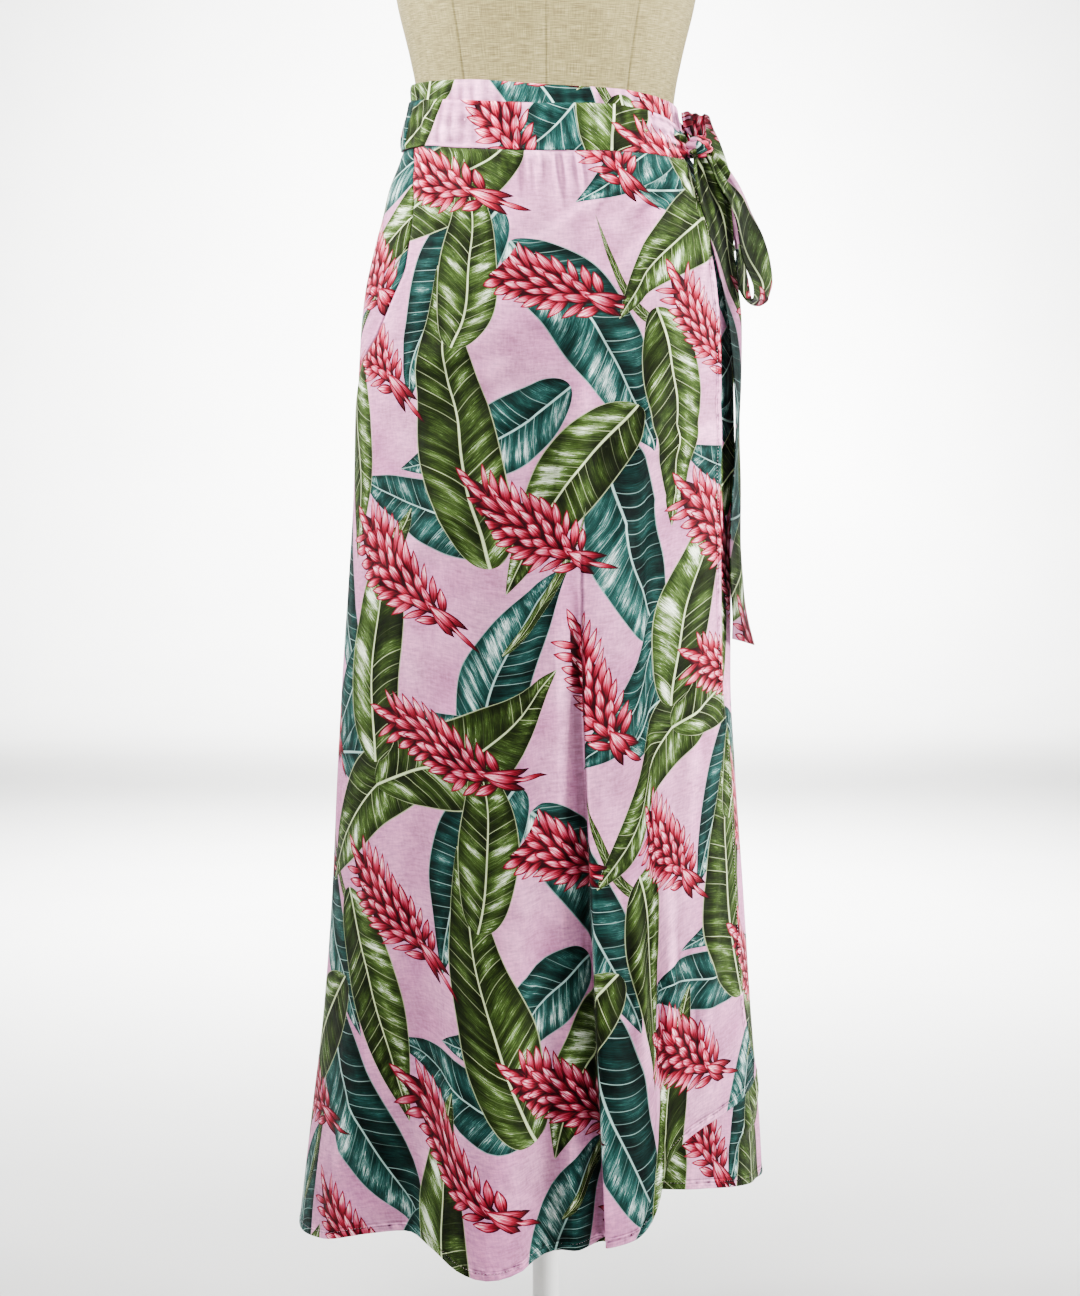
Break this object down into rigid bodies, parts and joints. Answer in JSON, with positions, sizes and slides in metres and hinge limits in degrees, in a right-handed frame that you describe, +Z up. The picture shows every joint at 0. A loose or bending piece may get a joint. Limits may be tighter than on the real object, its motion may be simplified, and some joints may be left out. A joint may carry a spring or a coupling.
{
  "type": "wrap skirt on a dress form",
  "caption": "Floor-length wrap skirt in a leaf and flower print, tied in a bow at the hip, worn by a limbless linen dress form on a round stand.",
  "frame": {"origin": "on the floor, at the middle of the underside of the stand's base", "axes": "+Z up along the pole; the front of the skirt faces -Y; +X is towards the bow, at the left hip of the form"},
  "size_m": [0.4408, 0.4238, 1.7063],
  "materials": {
    "printed_rayon_pink": "matt printed woven cloth",
    "printed_rayon_teal": "matt printed woven cloth",
    "printed_rayon_green": "matt printed woven cloth",
    "printed_rayon_red": "matt printed woven cloth",
    "linen_cover": "matt slubbed linen",
    "white_powder_coat": "satin powder coat",
    "maple_varnished": "satin varnish"
  },
  "bodies": {
    "root": {"over_front": "printed_rayon_pink", "under_front": "printed_rayon_green", "back_panel": "printed_rayon_pink", "waistband_under": "printed_rayon_teal", "waistband_over": "printed_rayon_red", "waistband_back": "printed_rayon_teal", "tie_over": "printed_rayon_pink", "tie_round": "printed_rayon_green", "knot": "printed_rayon_pink", "loop_front": "printed_rayon_green", "loop_back": "printed_rayon_red", "tail_long": "printed_rayon_green", "tail_short": "printed_rayon_teal", "form_torso": "linen_cover", "neck_cap": "maple_varnished", "form_plate": "white_powder_coat", "stand_pole": "white_powder_coat", "stand_base": "white_powder_coat"}
  },
  "joints": []
}
